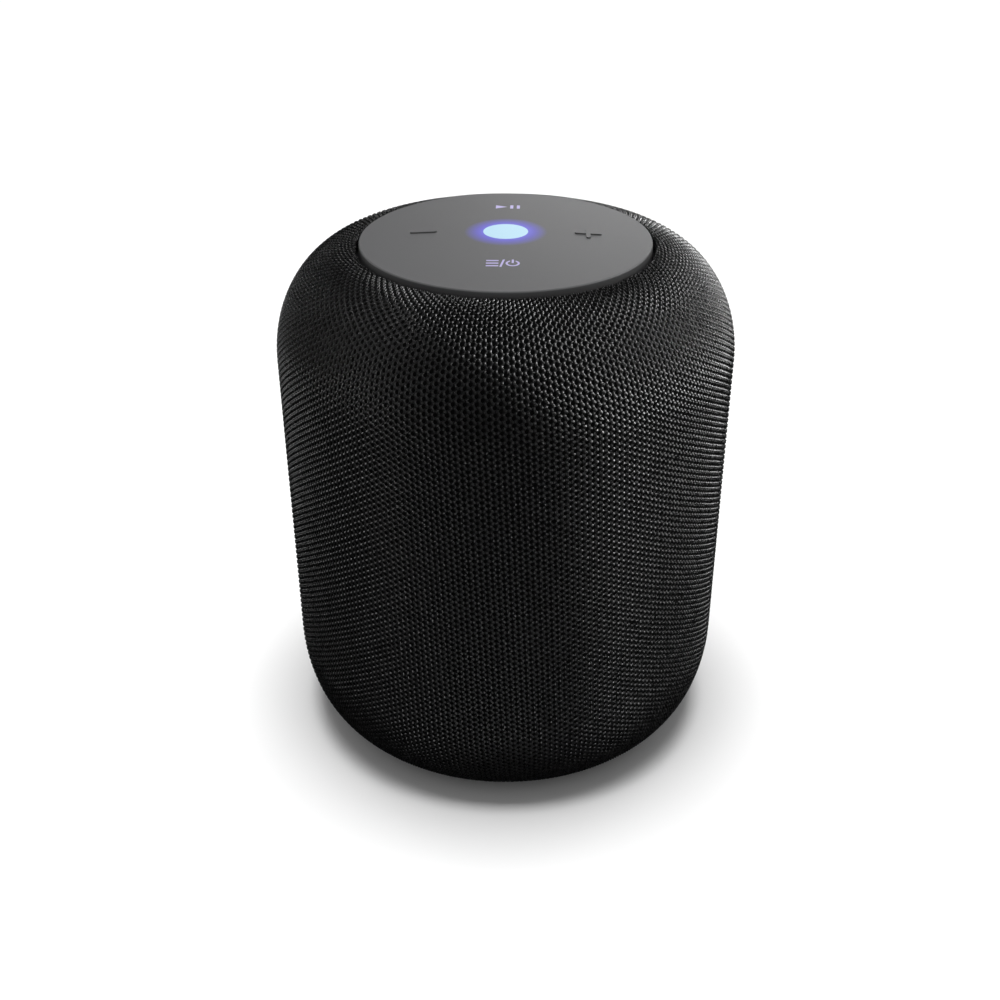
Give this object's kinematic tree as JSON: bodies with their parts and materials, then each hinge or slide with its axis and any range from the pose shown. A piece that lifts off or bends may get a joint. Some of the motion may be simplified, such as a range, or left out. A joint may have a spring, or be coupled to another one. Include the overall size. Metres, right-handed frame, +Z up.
{
  "type": "smart home hub",
  "caption": "Round fabric-covered smart home hub with a domed rocking key plate, lit window, internal loudspeaker, passive radiator and rear USB-C and audio sockets.",
  "frame": {"origin": "centre of the foot ring at the surface that the hub stands on", "axes": "+Z up along the body's axis; the mode/power key faces -Y, the plus key is towards +X, the sockets face +Y"},
  "size_m": [0.116, 0.1163, 0.1373],
  "materials": {
    "knit_black": "knitted net",
    "key_grey": "fine matte",
    "lens_lit": "frosted, lit pale blue",
    "icon_lit": "frosted, lit pale violet",
    "shell_black": "matte",
    "foot_rubber": "matte",
    "bright_steel": "satin",
    "part_black": "satin",
    "board_green": "satin",
    "frame_grey": "matte",
    "battery_wrap": "shrink wrap",
    "seal_rubber": "matte",
    "basket_paint": "satin",
    "ferrite": "matte",
    "cone_black": "pulp",
    "copper": "enamelled",
    "spider_cloth": "treated cloth",
    "plate_aluminium": "satin",
    "led_white": "milky",
    "gold_can": "plated",
    "stem_white": "satin",
    "flex_amber": "film",
    "lead_red": "satin"
  },
  "bodies": {
    "hub": {"fabric_sleeve": "knit_black", "grille_shell": "shell_black", "base_shell": "shell_black", "base_plate": "shell_black", "foot_ring": "foot_rubber", "sleeve_clamp_ring": "shell_black", "port_panel": "shell_black", "usb_socket_shell": "bright_steel", "usb_socket_tongue": "part_black", "aux_jack": "part_black", "port_board": "board_green", "battery_tray": "frame_grey", "battery_pack": "battery_wrap", "battery_straps": "seal_rubber", "chamber_tub": "frame_grey", "chamber_seal": "seal_rubber", "chamber_lid": "frame_grey", "driver_seal": "seal_rubber", "driver_basket": "basket_paint", "driver_magnet": "ferrite", "driver_yoke": "bright_steel", "driver_washer": "bright_steel", "driver_surround": "seal_rubber", "driver_spider": "spider_cloth", "radiator_frame": "basket_paint", "radiator_surround": "seal_rubber", "sound_reflector": "frame_grey", "main_board": "board_green", "board_components": "part_black", "radio_module": "bright_steel", "top_frame": "frame_grey", "control_board": "board_green", "status_leds": "led_white", "microphones": "gold_can", "switch_housings": "part_black", "pivot_bracket": "bright_steel", "gimbal_pins": "bright_steel", "light_pipe": "led_white", "flex_cable": "flex_amber", "battery_lead": "lead_red", "speaker_lead": "lead_red", "body_screws": "bright_steel", "driver_screws": "bright_steel", "board_screws": "bright_steel"},
    "gimbal": {"gimbal_ring": "bright_steel"},
    "key_plate": {"top_plate": "key_grey", "light_lens": "lens_lit", "mode_power_icon": "icon_lit", "play_pause_icon": "icon_lit", "plate_pins": "bright_steel"},
    "minus_stem": {"stem_minus": "stem_white"},
    "plus_stem": {"stem_plus": "stem_white"},
    "mode_stem": {"stem_mode": "stem_white"},
    "play_stem": {"stem_play": "stem_white"},
    "cone": {"driver_cone": "cone_black", "voice_coil": "copper", "dust_cap": "cone_black"},
    "radiator": {"radiator_plate": "plate_aluminium", "radiator_weight": "ferrite"}
  },
  "joints": [
    {"name": "plate_tilt_front", "type": "hinge", "parent": "hub", "child": "gimbal", "pos_m": [0, 0, 0.126], "axis": [1, 0, 0], "range_deg": [-0.9, 0.9], "stiffness_Nm_per_rad": 2},
    {"name": "plate_tilt_side", "type": "hinge", "parent": "gimbal", "child": "key_plate", "pos_m": [0, 0, 0.126], "axis": [0, 1, 0], "range_deg": [-0.9, 0.9], "stiffness_Nm_per_rad": 2},
    {"name": "minus_press", "type": "slide", "parent": "hub", "child": "minus_stem", "axis": [0, 0, 1], "range_m": [-0.00033, 0.00033], "stiffness_N_per_m": 0.02, "springref_m": 0.0212},
    {"name": "plus_press", "type": "slide", "parent": "hub", "child": "plus_stem", "axis": [0, 0, 1], "range_m": [-0.00033, 0.00033], "stiffness_N_per_m": 0.02, "springref_m": 0.0212},
    {"name": "mode_press", "type": "slide", "parent": "hub", "child": "mode_stem", "axis": [0, 0, 1], "range_m": [-0.00033, 0.00033], "stiffness_N_per_m": 0.02, "springref_m": 0.0212},
    {"name": "play_press", "type": "slide", "parent": "hub", "child": "play_stem", "axis": [0, 0, 1], "range_m": [-0.00033, 0.00033], "stiffness_N_per_m": 0.02, "springref_m": 0.0212},
    {"name": "cone_stroke", "type": "slide", "parent": "hub", "child": "cone", "axis": [0, 0, 1], "range_m": [-0.0025, 0.0025], "stiffness_N_per_m": 1500, "deforming": ["driver_surround", "driver_spider"]},
    {"name": "radiator_stroke", "type": "slide", "parent": "hub", "child": "radiator", "axis": [0, 0, 1], "range_m": [-0.0023, 0.0023], "stiffness_N_per_m": 1200, "deforming": ["radiator_surround"]}
  ],
  "couplings": [
    {"joint": "plus_press", "follows": "plate_tilt_side", "m_per_rad": -0.0202},
    {"joint": "minus_press", "follows": "plate_tilt_side", "m_per_rad": 0.0202},
    {"joint": "mode_press", "follows": "plate_tilt_front", "m_per_rad": -0.0202},
    {"joint": "play_press", "follows": "plate_tilt_front", "m_per_rad": 0.0202},
    {"joint": "radiator_stroke", "follows": "cone_stroke", "ratio": 0.8957}
  ]
}
